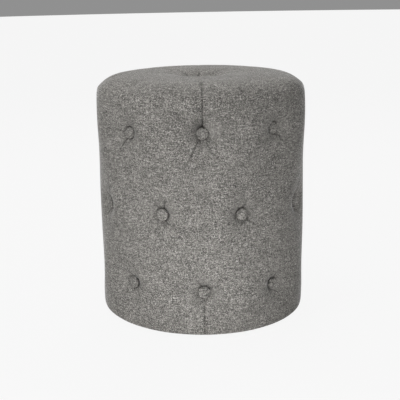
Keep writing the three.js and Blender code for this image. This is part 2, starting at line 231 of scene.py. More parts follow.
class Button:
    """Where a CAD button sits: its middle line, and how far out its dome reaches."""

    def __init__(self, name):
        self.name = name
        points = [vertex.co.copy() for vertex in nodes[name].data.vertices]
        middle = sum(points, Vector()) / len(points)
        self.on_seat = name == "seat_button"
        self.azimuth = 0 if self.on_seat else azimuth_of(middle)
        self.height = middle.z
        self.axis = Vector((0, 0, 1)) if self.on_seat else around(1, self.azimuth, 0)
        along = [point.dot(self.axis) for point in points]
        self.top = max(along)
        self.bottom = min(along)

    def offset(self, azimuth, height):
        """How far a point of the side lies from the button, round the body and up."""
        return BODY_RADIUS * angle_between(azimuth, self.azimuth), height - self.height


BUTTONS_PER_RING = BAYS // 2
RINGS = {
    ring: [Button(f"{ring}_button_{number + 1}") for number in range(BUTTONS_PER_RING)]
    for ring in ("upper", "middle", "lower")
}
SIDE_BUTTONS = [button for ring in RINGS.values() for button in ring]
SEAT_BUTTON = Button("seat_button")
RING_HEIGHTS = [sum(button.height for button in ring) / len(ring) for ring in RINGS.values()]


# ---- cover ----


def top_fullness(height):
    """How far the padding swells out below the edge of the seat."""
    return TOP_FULLNESS * math.exp(-(((height - TOP_FULLNESS_HEIGHT) / TOP_FULLNESS_REACH) ** 2))


def side_heights():
    """Row heights up the side, closer together at each ring of buttons."""
    bottom, top = HEM_HEIGHT + HEM_ROUND, EDGE_START
    steps = range(SIDE_SAMPLES + 1)
    heights = [bottom + (top - bottom) * step / SIDE_SAMPLES for step in steps]
    passed = [0]
    for height in heights[1:]:
        offsets = [(height - ring) / ROW_CLOSE_REACH for ring in RING_HEIGHTS]
        close = sum(math.exp(-(offset**2)) for offset in offsets)
        passed.append(passed[-1] + 1 + ROW_CLOSENESS * close)
    rows = []
    for row in range(1, SIDE_ROWS):
        target = passed[-1] * row / SIDE_ROWS
        step = next(index for index, total in enumerate(passed) if total >= target)
        share = (target - passed[step - 1]) / (passed[step] - passed[step - 1])
        rows.append(heights[step - 1] + (heights[step] - heights[step - 1]) * share)
    return rows


def body_profile():
    """The cover's outline: the turned-in hem, the side, the edge, and in to the seat's middle."""
    points = []
    for share in HEM_ROWS:
        turned_in = (HEM_RADIUS - HEM_ROUND - HEM_INNER_RADIUS) * share
        points.append((HEM_INNER_RADIUS + turned_in, HEM_HEIGHT))
    for step in range(HEM_ROUND_STEPS + 1):
        angle = math.radians(90 * step / HEM_ROUND_STEPS)
        points.append((
            HEM_RADIUS - HEM_ROUND * (1 - math.sin(angle)),
            HEM_HEIGHT + HEM_ROUND * (1 - math.cos(angle)),
        ))
    for height in side_heights():
        radius = BODY_RADIUS - HEM_TAPER * (1 - smoothstep(HEM_HEIGHT, TAPER_TOP, height))
        radius -= WAIST * math.exp(-(((height - WAIST_HEIGHT) / WAIST_REACH) ** 2))
        points.append((radius + top_fullness(height), height))
    for step in range(EDGE_ROWS):
        angle = math.radians(90 * step / (EDGE_ROWS - 1))
        height = EDGE_START + EDGE_ROUND * math.sin(angle)
        points.append((EDGE_RADIUS + EDGE_ROUND * math.cos(angle) + top_fullness(height), height))
    edge = points[-1][0]
    for step in range(1, SEAT_ROWS + 1):
        radius = edge * (1 - step / SEAT_ROWS) ** SEAT_ROW_SPREAD
        down = max(radius - CROWN_RING, 0) / (EDGE_RADIUS - CROWN_RING)
        points.append((radius, SEAT_CROWN - (SEAT_CROWN - EDGE_HEIGHT) * down**CROWN_CURVE))
    return points


def gather_columns(bm):
    """Bring the columns closer together at each half bay, where the buttons and pleats are."""
    for vertex in bm.verts:
        radius, azimuth, height = polar(vertex.co)
        azimuth -= GATHER * math.sin(BAYS * azimuth) / BAYS
        vertex.co = around(radius, azimuth, height)


def tuft_depth(distance):
    """How far in the cloth lies: a cone under the button, and a pocket that opens round it."""
    if distance < BUTTON_RADIUS:
        return BED_DEPTH - distance * BED_SLOPE
    past = distance - BUTTON_RADIUS
    rim = BED_DEPTH - BUTTON_RADIUS * BED_SLOPE
    pocket = (1 - PULL_SHARE) * math.exp(-past / POCKET_REACH)
    return rim * (pocket + PULL_SHARE * math.exp(-past / PULL_REACH))


def dimple_depth(radius):
    """How far down the cloth lies in the middle of the seat."""
    bed = SEAT_CROWN - SEAT_BED
    if radius < BUTTON_RADIUS:
        return bed - radius * SEAT_BED_SLOPE
    rim = bed - BUTTON_RADIUS * SEAT_BED_SLOPE
    return rim * math.exp(-(((radius - BUTTON_RADIUS) / SEAT_DIMPLE_REACH) ** SEAT_DIMPLE_LIP))


def swell(azimuth, height):
    """The broad pillows between the buttons, fullest where the buttons are furthest apart."""
    upper, middle, lower = RING_HEIGHTS
    if height > middle:
        phase = math.pi * min((upper - height) / (upper - middle), 1)
    else:
        phase = math.pi * (1 + (middle - height) / (middle - lower))
    fade = 1 - SWELL_TOP_LOSS * smoothstep(upper, EDGE_HEIGHT, height)
    fade *= smoothstep(HEM_HEIGHT, lower - SWELL_HEM_CLEAR, height)
    return -SWELL * fade * math.cos(BAYS / 2 * azimuth) * math.cos(max(phase, 0))


def make_full_places():
    """The full places seen from the front, and others like them round the back."""
    chance = random.Random(BACK_SEED)
    places = list(FULL_PLACES)
    for middle in BACK_AZIMUTHS:
        half_width = chance.uniform(*BACK_HALF_WIDTHS)
        half_height = chance.uniform(*BACK_HALF_HEIGHTS)
        azimuth = middle + chance.uniform(-BACK_DRIFT, BACK_DRIFT)
        height = chance.uniform(*BACK_HEIGHTS)
        places.append((azimuth, half_width, height, half_height, chance.uniform(*BACK_RISES)))
    return [
        (math.radians(azimuth), math.radians(half_width), height * MM, half_height * MM, rise * MM)
        for azimuth, half_width, height, half_height, rise in places
    ]


PLACES = make_full_places()


def fullness(azimuth, height):
    """How far out a point of the side stands for the full and thin places round it."""
    rise = 0
    for middle, half_width, level, half_height, most in PLACES:
        across = angle_between(azimuth, middle) / half_width
        rise += most * math.exp(-across * across - ((height - level) / half_height) ** 2)
    return rise


def funnel_depth(azimuth, height):
    """The hollow above each upper button, steep on the side that its pleat lies over."""
    depth = 0
    for number, button in enumerate(RINGS["upper"]):
        across, up = button.offset(azimuth, height)
        if 0 < up < FUNNEL_HEIGHT:
            open_side = across * (1 if number % 2 == 0 else -1) < 0
            width = FUNNEL_OPEN_SIDE if open_side else FUNNEL_STEEP_SIDE
            width *= 1 - FUNNEL_NARROWING * up / FUNNEL_HEIGHT
            fade = smoothstep(0, BUTTON_RADIUS, up)
            fade *= 1 - smoothstep(FUNNEL_FADE_START * FUNNEL_HEIGHT, FUNNEL_HEIGHT, up)
            share = PLAIN_FUNNEL_SHARE if number else 1
            depth += share * FUNNEL_DEPTH * fade * math.exp(-((across / width) ** 2))
    return depth


def draw_in(bm):
    """Pull the cloth in to each button, and let it swell between them."""
    for vertex in bm.verts:
        radius, azimuth, height = polar(vertex.co)
        if radius < EDGE_RADIUS and height > EDGE_START:
            vertex.co.z -= dimple_depth(radius)
        elif height > HEM_HEIGHT + HEM_ROUND / 2:
            offsets = [button.offset(azimuth, height) for button in SIDE_BUTTONS]
            depth = sum(tuft_depth(math.hypot(*offset)) for offset in offsets)
            depth *= 1 - smoothstep(EDGE_START, EDGE_HEIGHT, height)
            vertex.co = around(radius - depth + swell(azimuth, height), azimuth, height)


def bed_distance(point):
    """How far a point of the cover is from the middle line of the nearest button."""
    if point.z > EDGE_START:
        return math.hypot(point.x, point.y)
    azimuth = azimuth_of(point)
    return min(math.hypot(*button.offset(azimuth, point.z)) for button in SIDE_BUTTONS)


def settle(piece):
    """Let the drawn-in cloth swell between its buttons, as the padding presses it out."""
    held = piece.vertex_groups.new(name="held")
    start = [vertex.co.copy() for vertex in piece.data.vertices]
    for vertex in piece.data.vertices:
        in_hem = vertex.co.z < HEM_HEIGHT + HEM_ROUND
        if in_hem or bed_distance(vertex.co) < HELD_REACH * BUTTON_RADIUS:
            held.add([vertex.index], 1, "REPLACE")
    cloth = piece.modifiers.new("settle", "CLOTH")
    cloth.settings.vertex_group_mass = "held"
    cloth.settings.use_pressure = True
    cloth.settings.uniform_pressure_force = SETTLE_PRESSURE
    cloth.settings.effector_weights.gravity = 0
    cloth.settings.quality = SETTLE_QUALITY
    cloth.settings.tension_stiffness = SETTLE_STIFFNESS
    cloth.settings.compression_stiffness = SETTLE_STIFFNESS
    cloth.settings.bending_stiffness = SETTLE_BENDING
    cloth.point_cache.frame_start = 1
    cloth.point_cache.frame_end = SETTLE_FRAMES
    for number in range(1, SETTLE_FRAMES + 1):
        bpy.context.scene.frame_set(number)
    apply_modifiers(piece)
    bpy.context.scene.frame_set(1)
    for vertex, first in zip(piece.data.vertices, start):
        move = vertex.co - first
        if move.length > 1e-9:
            kept = SETTLE_LIMIT * math.tanh(move.length / SETTLE_LIMIT)
            vertex.co = first + move * (kept / move.length)
    piece.vertex_groups.clear()


def fill_out(piece):
    """Move the settled cloth out where the padding is full, and in where a pleat opens."""
    for vertex in piece.data.vertices:
        radius, azimuth, height = polar(vertex.co)
        if HEM_HEIGHT + HEM_ROUND < height < EDGE_START:
            distance = bed_distance(vertex.co)
            clear = smoothstep(BUTTON_RADIUS, FILL_CLEAR * BUTTON_RADIUS, distance)
            clear *= 1 - smoothstep(EDGE_START - FILL_TOP_FADE, EDGE_START, height)
            rise = fullness(azimuth, height) * clear - funnel_depth(azimuth, height)
            vertex.co = around(radius + rise, azimuth, height)


# Folds beside the front buttons: how far round and up they point, their reach and depth in mm,
# and which side of each lies over the other
SEEN_FOLDS = {
    "upper_button_1": [
        (-0.485, -0.875, 94, 1.9, 1),
        (0.45, -0.893, 72, 1.7, -1),
        (0.8, -0.4, 22, 1.2, 1),
    ],
    "middle_button_8": [
        (0.29, 0.96, 38, 2.6, 1),
        (-0.53, 0.85, 34, 2.2, -1),
        (0.45, -0.89, 28, 1.6, 1),
    ],
    "middle_button_1": [
        (0.78, -0.62, 42, 2.6, -1),
        (0.3, 0.95, 36, 2.2, 1),
        (-0.45, 0.89, 26, 1.6, -1),
    ],
    "lower_button_1": [(0.87, 0.5, 44, 2, 1), (-0.42, 0.9, 32, 1.8, -1), (0.4, 0.9, 24, 1.2, 1)],
    "upper_button_8": [(-0.75, 0.1, 34, 2.2, 1), (-0.5, -0.87, 46, 2.4, -1)],
    "upper_button_2": [(0.6, -0.8, 46, 1.6, -1), (-0.3, -0.95, 34, 1.2, 1)],
    "lower_button_2": [(-0.4, 0.9, 38, 2, 1), (0.5, 0.87, 34, 1.8, -1)],
    "lower_button_8": [(-0.4, 0.92, 40, 2, 1), (0.45, 0.9, 30, 1.8, -1)],
}
LONGEST_FOLD = 94 * MM

# Folds at the other buttons: their slants, and the ranges that the rest is drawn from, in mm
OTHER_SLANTS = (-0.45, 0.45)
OTHER_DRIFT = 0.15
OTHER_UP = 0.9
OTHER_REACHES = (18, 60)
OTHER_DEPTHS = (1, 2.2)
OTHER_SEED = 11

# The crease of a fold or pleat: it starts and is full at these shares of a button's radius
FOLD_WIDTH = 1.2 * MM
FOLD_START = 0.5
FOLD_FULL = 1.3
FOLD_FADE_START = 0.6
FOLD_WANDER = 0.02
FOLD_WANDER_PITCH = 13 * MM
LIP_REACH = 7 * MM
LIP_SHARE = 0.4
LIP_END = 5
PLEAT_WIDTH = 1.1 * MM
PLEAT_DEPTH = 2.5 * MM
PLEAT_FULL = 1.5
PLAIN_PLEAT_SHARE = 0.3
LOWER_PLEAT_SHARE = 0.8
FRONT_EDGE_SHARE = 0.75
FRONT_EDGE_FADE = 30 * MM
SEAT_PLEAT_SHARE = 0.15
SEAT_PLEAT_GAIN = 0.3
SEAT_PLEAT_GAIN_RADII = (25 * MM, 70 * MM)
SEAT_PLEAT_WIDENING = 2.5
SEAT_PLEAT_WIDENING_RADII = (30 * MM, 90 * MM)

# Where the mesh is made closer: how near a crease, and how deep the crease at least, each time
FINE_CREASES = ((2.4 * MM, 0.4 * MM), (1.1 * MM, 0.6 * MM))
WIDEST_FINE_CREASE = 2 * MM

# Painted shade: how dark the cloth is painted in its folds and hollows
FOLD_DEPTH_OF_FULL_SHADE = 3 * MM
HOLLOW_SHADE = 0.5


class Fold:
    """A short crease that runs out of a tuft."""

    def __init__(self, across, up, reach, depth, lean):
        length = math.hypot(across, up)
        self.across, self.up = across / length, up / length
        self.reach, self.depth, self.lean = reach * MM, depth * MM, lean

    def crease(self, x, z):
        """How far aside of the crease a point is, and how deep the crease is there."""
        out = x * self.across + z * self.up
        if not FOLD_START * BUTTON_RADIUS < out < self.reach:
            return None
        wander = FOLD_WANDER * out * math.sin(out / FOLD_WANDER_PITCH) * self.lean
        aside = x * self.up - z * self.across - wander
        if abs(aside) > LIP_END * LIP_REACH:
            return None
        strength = smoothstep(FOLD_START * BUTTON_RADIUS, FOLD_FULL * BUTTON_RADIUS, out)
        strength *= 1 - smoothstep(FOLD_FADE_START * self.reach, self.reach, out)
        return aside * self.lean, strength * self.depth, FOLD_WIDTH


def make_folds():
    """The folds of each side button: those seen, or a few drawn like them."""
    chance = random.Random(OTHER_SEED)
    folds = {}
    for ring_name, ring in RINGS.items():
        ups = {"upper": (-1,), "middle": (-1, 1), "lower": (1,)}[ring_name]
        for button in ring:
            chosen = list(SEEN_FOLDS.get(button.name, ()))
            if not chosen:
                for up in ups:
                    for side in OTHER_SLANTS:
                        slant = side + chance.uniform(-OTHER_DRIFT, OTHER_DRIFT)
                        reach, depth = chance.uniform(*OTHER_REACHES), chance.uniform(*OTHER_DEPTHS)
                        chosen.append((slant, OTHER_UP * up, reach, depth, chance.choice((-1, 1))))
            folds[button.name] = [Fold(*fold) for fold in chosen]
    return folds


FOLDS = make_folds()


def pleat_at(radius, azimuth, height):
    """The pleat nearest a point: from an upper button over the edge, or from a lower to the hem."""
    ring = "upper" if height > RING_HEIGHTS[1] else "lower"
    turns = [angle_between(azimuth, button.azimuth) for button in RINGS[ring]]
    number = min(range(len(turns)), key=lambda index: abs(turns[index]))
    button = RINGS[ring][number]
    past = height - button.height if ring == "upper" else button.height - height
    on_seat = radius < EDGE_RADIUS and height > EDGE_START
    if past < FOLD_START * BUTTON_RADIUS or (on_seat and radius < BUTTON_RADIUS):
        return None
    aside = radius * turns[number] * (1 if number % 2 == 0 else -1)
    strength = smoothstep(FOLD_START * BUTTON_RADIUS, PLEAT_FULL * BUTTON_RADIUS, past)
    if number > 0:
        strength *= PLAIN_PLEAT_SHARE
    if ring == "lower":
        strength *= LOWER_PLEAT_SHARE
    width = PLEAT_WIDTH
    if height > EDGE_START:
        least = FRONT_EDGE_SHARE if number == 0 else SEAT_PLEAT_SHARE
        strength = min(strength, 1 - (1 - least) * smoothstep(EDGE_START, EDGE_HEIGHT, height))
    if on_seat:
        gain = 1 - smoothstep(*SEAT_PLEAT_GAIN_RADII, radius)
        strength = SEAT_PLEAT_SHARE + SEAT_PLEAT_GAIN * gain
        if number == 0:
            edge_share = smoothstep(EDGE_RADIUS - FRONT_EDGE_FADE, EDGE_RADIUS, radius)
            strength += (FRONT_EDGE_SHARE - SEAT_PLEAT_SHARE) * edge_share
        strength *= smoothstep(BUTTON_RADIUS, 2 * BUTTON_RADIUS, radius)
        width *= 1 + SEAT_PLEAT_WIDENING * (1 - smoothstep(*SEAT_PLEAT_WIDENING_RADII, radius))
    return aside, strength * PLEAT_DEPTH, width


def creases_at(point):
    """Every fold and pleat that a point of the cover is near."""
    radius, azimuth, height = polar(point)
    if height < HEM_HEIGHT + HEM_ROUND / 2 and radius < HEM_RADIUS - HEM_ROUND:
        return []
    found = [pleat_at(radius, azimuth, height)]
    if height < EDGE_START:
        for button in SIDE_BUTTONS:
            x, z = button.offset(azimuth, height)
            if abs(z) < LONGEST_FOLD and abs(x) < LONGEST_FOLD:
                found.extend(fold.crease(x, z) for fold in FOLDS[button.name])
    return [crease for crease in found if crease]


def crease_depth(aside, depth, width):
    """A narrow groove whose one side lies a little over the other."""
    lip = LIP_SHARE * smoothstep(-width, width, aside) * math.exp(-abs(aside) / LIP_REACH)
    return depth * (math.exp(-((aside / width) ** 2)) - lip)


def is_near_crease(point, reach, least_depth):
    """Whether a point lies by a crease that needs a closer mesh to stay narrow."""
    return any(
        abs(aside) < reach and depth > least_depth and width < WIDEST_FINE_CREASE
        for aside, depth, width in creases_at(point)
    )


def refine_creases(piece):
    """A closer mesh along the folds and pleats, so that they stay narrow."""
    bm = bmesh.new()
    bm.from_mesh(piece.data)
    for limits in FINE_CREASES:
        bm.verts.index_update()
        bm.edges.index_update()
        near = [is_near_crease(vertex.co, *limits) for vertex in bm.verts]
        crossed = set()
        for face in bm.faces:
            at_corner = any(near[vertex.index] for vertex in face.verts)
            if at_corner or is_near_crease(face.calc_center_median(), *limits):
                crossed.update(edge.index for edge in face.edges)
        edges = [edge for edge in bm.edges if edge.index in crossed]
        bmesh.ops.subdivide_edges(bm, edges=edges, cuts=1, use_grid_fill=True)
    bm.to_mesh(piece.data)
    bm.free()


def inward_at(point):
    """The way into the padding: level on the side, turning over the edge, and down on the seat."""
    radius = math.hypot(point.x, point.y)
    over = 0
    if point.z > EDGE_START:
        over = math.atan2(point.z - EDGE_START, max(radius - EDGE_RADIUS, TINY))
    return around(-math.cos(over), azimuth_of(point), -math.sin(over))


def press_creases(piece):
    """Press the folds and pleats in, and note for the cloth's colour how deep each point is, as
    painted shade.
    """
    # The fold attribute is painted shade: how deep each point lies in a fold, pleat, funnel or the
    # seat's dimple
    fold = piece.data.attributes.new("fold", "FLOAT", "POINT")
    for vertex, mark in zip(piece.data.vertices, fold.data):
        creases = creases_at(vertex.co)
        grooves = [depth * math.exp(-((aside / width) ** 2)) for aside, depth, width in creases]
        painted_shade = sum(grooves) / FOLD_DEPTH_OF_FULL_SHADE
        if vertex.co.z < EDGE_START:
            painted_shade += HOLLOW_SHADE * funnel_depth(azimuth_of(vertex.co), vertex.co.z) / FUNNEL_DEPTH
        else:
            radius = math.hypot(vertex.co.x, vertex.co.y)
            painted_shade += HOLLOW_SHADE * dimple_depth(radius) / (SEAT_CROWN - SEAT_BED)
        mark.value = painted_shade
        vertex.co += inward_at(vertex.co) * sum(crease_depth(*crease) for crease in creases)


def press_beds(piece):
    """Keep the cloth clear of the buttons' backs and shanks."""
    for vertex in piece.data.vertices:
        radius, azimuth, height = polar(vertex.co)
        if height > EDGE_START:
            if radius < BED_MARGIN * BUTTON_RADIUS:
                vertex.co.z = min(height, SEAT_BED + radius * SEAT_BED_SLOPE)
            continue
        for button in SIDE_BUTTONS:
            distance = math.hypot(*button.offset(azimuth, height))
            if distance < BED_MARGIN * BUTTON_RADIUS:
                bed = BODY_RADIUS - BED_DEPTH + distance * BED_SLOPE
                vertex.co = around(min(radius, bed), azimuth, height)


# How the threads are drawn together at the buttons, and spread over the hem
TUFT_SLACK = 11 * MM
SLACK_PEAK = 26 * MM
SLACK_END = 76 * MM
HEM_BULGE = 14 * MM
GORES = 8


def slack_near(point):
    """How far the cloth near a button has been drawn towards it, round the body and up."""
    azimuth, height = azimuth_of(point), point.z
    for button in SIDE_BUTTONS:
        x, z = button.offset(azimuth, height)
        distance = math.hypot(x, z)
        if 0 < distance < SLACK_END:
            slack = TUFT_SLACK * smoothstep(0, SLACK_PEAK, distance)
            slack *= 1 - smoothstep(SLACK_PEAK, SLACK_END, distance)
            return x / distance * slack, z / distance * slack
    return 0, 0


def lay_cloth(piece):
    """A map in metres along the threads: round and up the side, and in to the seat's middle."""
    bm = bmesh.new()
    bm.from_mesh(piece.data)
    layer = bm.loops.layers.uv.new("cloth")
    gore = 2 * math.pi / GORES
    slack = {vertex.index: slack_near(vertex.co) for vertex in bm.verts}
    for face in bm.faces:
        gore_middle = (math.floor(azimuth_of(face.calc_center_median()) / gore) + 0.5) * gore
        for loop in face.loops:
            point = loop.vert.co
            radius = math.hypot(point.x, point.y)
            turn = angle_between(azimuth_of(point), gore_middle) if radius > TINY else 0
            if point.z < EDGE_START:
                across = BODY_RADIUS * turn
                along = point.z + min(0, radius - HEM_RADIUS + HEM_ROUND)
                low_share = 1 - smoothstep(HEM_BULGE, 3 * HEM_BULGE, point.z)
                along += max(0, radius - HEM_RADIUS) * low_share
            else:
                over = math.atan2(point.z - EDGE_START, max(radius - EDGE_RADIUS, TINY))
                inward = smoothstep(0, math.pi / 2, over)
                across = (1 - inward) * BODY_RADIUS * turn + inward * radius * math.sin(turn)
                along = EDGE_START + EDGE_ROUND * over
                along += max(EDGE_RADIUS - radius, 0) * math.cos(turn)
            drawn_across, drawn_along = slack[loop.vert.index]
            across += BODY_RADIUS * gore_middle
            loop[layer].uv = (across + drawn_across, along + drawn_along)
    bm.to_mesh(piece.data)
    bm.free()


def make_cover():
    """The tufted cover, and a copy of it before its fine folds for the padding."""
    bm = lathe(body_profile(), COLUMNS)
    gather_columns(bm)
    draw_in(bm)
    piece = piece_from(bm, "tufted_cover")
    settle(piece)
    fill_out(piece)
    settled = piece.data.copy()
    refine = piece.modifiers.new("refine", "SUBSURF")
    refine.levels = refine.render_levels = 1
    apply_modifiers(piece)
    refine_creases(piece)
    press_creases(piece)
    press_beds(piece)
    lay_cloth(piece)
    piece.data.shade_smooth()
    return piece, settled


# ---- padding ----

# The foams: how far inside the cover's outer face they lie, their bore and their flat ends
PADDING_GAP = 4.6 * MM
FOAM_BORE_RADIUS = 164.15 * MM
SIDE_FOAM_BOTTOM = 21.9 * MM
SIDE_FOAM_TOP = 403.7 * MM
TOP_FOAM_BOTTOM = 404 * MM


def cut_level(bm, height, keep_above):
    """Cut the padding off level, and give back the edges of the cut."""
    cut = bmesh.ops.bisect_plane(
        bm,
        geom=[*bm.verts, *bm.edges, *bm.faces],
        plane_co=(0, 0, height),
        plane_no=(0, 0, 1),
        clear_outer=not keep_above,
        clear_inner=keep_above,
    )
    return [item for item in cut["geom_cut"] if isinstance(item, bmesh.types.BMEdge)]


def padding_under(settled):
    """The settled cover's shape, a gap inside it."""
    bm = bmesh.new()
    bm.from_mesh(settled)
    bm.normal_update()
    places = [vertex.co - vertex.normal * PADDING_GAP for vertex in bm.verts]
    for vertex, place in zip(bm.verts, places):
        vertex.co = place
    return bm


def turn_in(bm, edges):
    """A level end face from the cut's edge in to the bore."""
    grown = bmesh.ops.extrude_edge_only(bm, edges=edges)["geom"]
    for vertex in (item for item in grown if isinstance(item, bmesh.types.BMVert)):
        vertex.co = around(FOAM_BORE_RADIUS, azimuth_of(vertex.co), vertex.co.z)
    return [item for item in grown if isinstance(item, bmesh.types.BMEdge)]


def make_side_padding(settled):
    bm = padding_under(settled)
    top = cut_level(bm, SIDE_FOAM_TOP, keep_above=False)
    bottom = cut_level(bm, SIDE_FOAM_BOTTOM, keep_above=True)
    inner = turn_in(bm, [edge for edge in top if edge.is_valid]) + turn_in(bm, bottom)
    bmesh.ops.bridge_loops(bm, edges=inner)
    bmesh.ops.recalc_face_normals(bm, faces=bm.faces)
    return piece_from(bm, "side_padding")


def make_seat_padding(settled):
    bm = padding_under(settled)
    edges = cut_level(bm, TOP_FOAM_BOTTOM, keep_above=True)
    bmesh.ops.holes_fill(bm, edges=edges)
    bmesh.ops.recalc_face_normals(bm, faces=bm.faces)
    return piece_from(bm, "seat_padding")


# ---- buttons ----

# Radii and heights in mm of the shank, over its end, and of the back, over its flat
SHANK_PROFILE = [(0, 0), (2.4, 0), (3, 0.5)]
BACK_PROFILE = [(3, -0.1), (8.4, 0), (10, 0.1), (10.8, 0.6), (11, 1.3)]
DOME_HEIGHT = 4.2 * MM
DOME_RADIUS = 10.95 * MM
DOME_FULLNESS = 0.8
DOME_STEPS = 9
BACK_DROP = 2 * MM
BUTTON_COLUMNS = 40

# How each button was cut from the cloth and wrapped
BUTTON_TURN = 0.3
BUTTON_SEED = 5
WRAP_DROP = 4 * MM
WRAP_SHARE = 0.6


def button_profile(button):
    """A button's outline: up its shank, out along its back, round the rim and over the dome."""
    top, bottom = button.top, button.bottom
    rim = top - DOME_HEIGHT
    back = rim - BACK_DROP
    points = [(radius * MM, bottom + height * MM) for radius, height in SHANK_PROFILE]
    points += [(radius * MM, back + height * MM) for radius, height in BACK_PROFILE]
    for step in range(DOME_STEPS + 1):
        angle = math.radians(90 * step / DOME_STEPS)
        radius = DOME_RADIUS * math.cos(angle) ** DOME_FULLNESS
        points.append((radius, rim + (top - rim) * math.sin(angle)))
    return points


def covered_button(button, chance):
    """A domed button in the same cloth, on its shank."""
    bm = lathe(button_profile(button), BUTTON_COLUMNS)
    layer = bm.loops.layers.uv.new("cloth")
    place = Vector((chance.uniform(0, 1), chance.uniform(0, 1)))
    turn = Matrix.Rotation(chance.uniform(-BUTTON_TURN, BUTTON_TURN), 2)
    for face in bm.faces:
        for loop in face.loops:
            point = loop.vert.co
            wrapped = WRAP_SHARE * max(button.top - WRAP_DROP - point.z, 0)
            reach = math.hypot(point.x, point.y) + wrapped
            flat = Vector((point.x, point.y))
            if flat.length > TINY:
                flat *= reach / flat.length
            loop[layer].uv = place + turn @ flat
    if not button.on_seat:
        lift = Matrix.Translation((0, 0, button.height))
        turn_round = Matrix.Rotation(button.azimuth, 4, "Z")
        face_front = Matrix.Rotation(math.radians(90), 4, "X")
        bmesh.ops.transform(bm, matrix=lift @ turn_round @ face_front, verts=bm.verts)
    piece = piece_from(bm, "covered_" + button.name)
    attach(piece, "root")
    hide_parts(button.name)
    return piece


# ---- finishes ----


class Nodes:
    """Short calls that add and join a material's nodes."""

    def __init__(self, name):
        self.material = bpy.data.materials.new(name)
        self.material.use_nodes = True
        self.tree = self.material.node_tree
        self.shader = self.tree.nodes["Principled BSDF"]

    def add(self, kind, inputs=(), output=0, **settings):
        node = self.tree.nodes.new("ShaderNode" + kind)
        for name, value in settings.items():
            setattr(node, name, value)
        for key, value in dict(inputs).items():
            self.join(value, node.inputs[key])
        return node.outputs[output]

    def join(self, value, socket):
        if isinstance(value, bpy.types.NodeSocket):
            self.tree.links.new(value, socket)
        else:
            socket.default_value = value

    def maths(self, operation, *values):
        return self.add("Math", dict(enumerate(values)), operation=operation)

    def plus(self, value, more):
        return self.maths("ADD", value, more)

    def minus(self, value, less):
        return self.maths("SUBTRACT", value, less)

    def times(self, value, factor):
        return self.maths("MULTIPLY", value, factor)

    def divide(self, value, divisor):
        return self.maths("DIVIDE", value, divisor)

    def place(self):
        """The place of a point on its own piece."""
        return self.add("TexCoord", output=3)

    def split(self, vector):
        node = self.tree.nodes.new("ShaderNodeSeparateXYZ")
        self.join(vector, node.inputs[0])
        return node.outputs

    def point(self, x, y, z=0):
        return self.add("CombineXYZ", {0: x, 1: y, 2: z})

    def stretched(self, parts, factors):
        """A point with its parts scaled apart, for grain that runs one way."""
        return self.point(*(self.times(part, factor) for part, factor in zip(parts, factors)))

    def noise(self, vector, scale=1, detail=2, roughness=0.5):
        inputs = {"Vector": vector, "Scale": scale, "Detail": detail, "Roughness": roughness}
        return self.add("TexNoise", inputs)

    def blend(self, share, first, second):
        return self.plus(self.times(share, self.minus(second, first)), first)

    def vary(self, tone, noise, weight):
        """A tone made lighter or darker by a noise."""
        return self.plus(tone, self.times(self.minus(noise, 0.5), weight))

    def bump(self, strength, distance, height):
        return self.add("Bump", {"Strength": strength, "Distance": distance, "Height": height})

    def ramp(self, share, stops):
        socket = self.add("ValToRGB", {"Fac": share})
        band = socket.node.color_ramp
        while len(band.elements) < len(stops):
            band.elements.new(1)
        for element, (place, colour) in zip(band.elements, stops):
            element.position = place
            element.color = (*colour, 1)
        return socket

    def finish(self, **sockets):
        for name, value in sockets.items():
            self.join(value, self.shader.inputs[name.replace("_", " ")])
        return self.material


# The weave: how far apart its yarns are, how long their slubs and streaks run, counted in
# yarns, and how far apart neighbouring yarns are in the noise that colours them
YARN_PITCH = 0.95 * MM
WARP_SLUB = 1.8
WEFT_SLUB = 1.1
LONG_SLUB = 11
SLUB_STEP = 7.37
STREAK_STEP = 3.7
FIBRES_ACROSS = 5
FIBRES_ALONG = 1.3
PATCH_SIZE = 30 * MM

# How much each of these counts in the cloth's tone; the last two are painted shade, at the yarns'
# edges and in the folds and hollows
WEFT_STREAK_SHARE = 0.24
WARP_STREAK_SHARE = 0.16
FIBRE_SHARE = 0.2
PATCH_SHARE = 0.05
YARN_EDGE_PAINTED_SHADE = 0.35
FOLD_PAINTED_SHADE = 0.6


